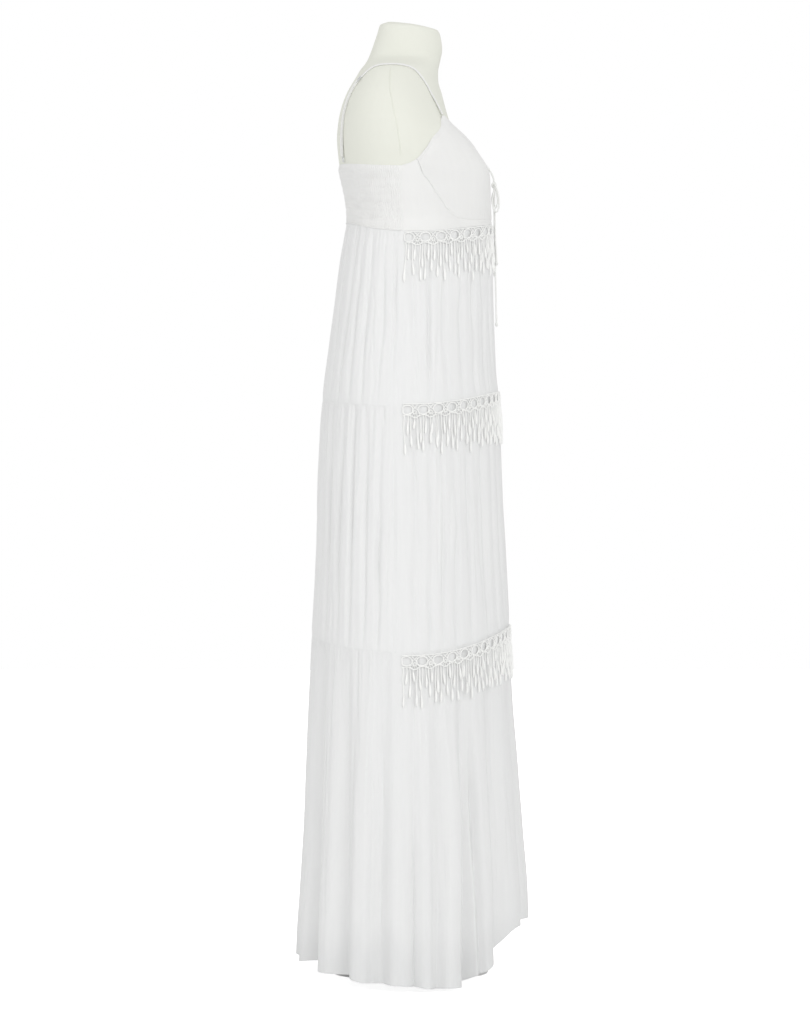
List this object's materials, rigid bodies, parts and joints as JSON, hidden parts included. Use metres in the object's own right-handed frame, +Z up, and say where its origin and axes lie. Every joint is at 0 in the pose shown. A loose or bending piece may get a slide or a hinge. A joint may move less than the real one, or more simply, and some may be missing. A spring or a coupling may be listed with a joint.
{
  "type": "maxi dress on dress form",
  "caption": "Sleeveless tiered maxi dress with soft cups, thin straps, a front tie and fringed crochet trims, on a limbless dress form with a round base.",
  "frame": {"origin": "middle of the stand's underside, on the floor under the pole", "axes": "+Z up, -Y towards the front of the dress, +X towards the wearer's left"},
  "size_m": [0.5952, 0.3724, 1.5185],
  "materials": {
    "cotton": "matt, fine crinkled cotton",
    "crochet": "matt crochet lace",
    "cord": "matt braided cord",
    "jersey": "matt ivory jersey over the form",
    "metal": "small plated strap fittings",
    "painted_steel": "satin"
  },
  "bodies": {
    "root": {"form_torso": "jersey", "stand": "painted_steel", "cup_right": "cotton", "cup_left": "cotton", "bodice_front_panel": "cotton", "bodice_back_shirred": "cotton", "tier_1_front": "cotton", "tier_1_back": "cotton", "tier_2_front": "cotton", "tier_2_back": "cotton", "tier_3_front": "cotton", "tier_3_back": "cotton", "fringe_trim_waist": "crochet", "fringe_trim_hip": "crochet", "fringe_trim_knee": "crochet", "strap_right": "cotton", "strap_left": "cotton", "strap_return_right": "cotton", "strap_return_left": "cotton", "strap_ring_right": "metal", "strap_ring_left": "metal", "strap_slider_right": "metal", "strap_slider_left": "metal", "tie_knot": "cord", "tie_lead_right": "cord", "tie_lead_left": "cord", "tie_loop_right": "cord", "tie_loop_left": "cord", "tie_tail_right": "cord", "tie_tail_left": "cord"}
  },
  "joints": []
}
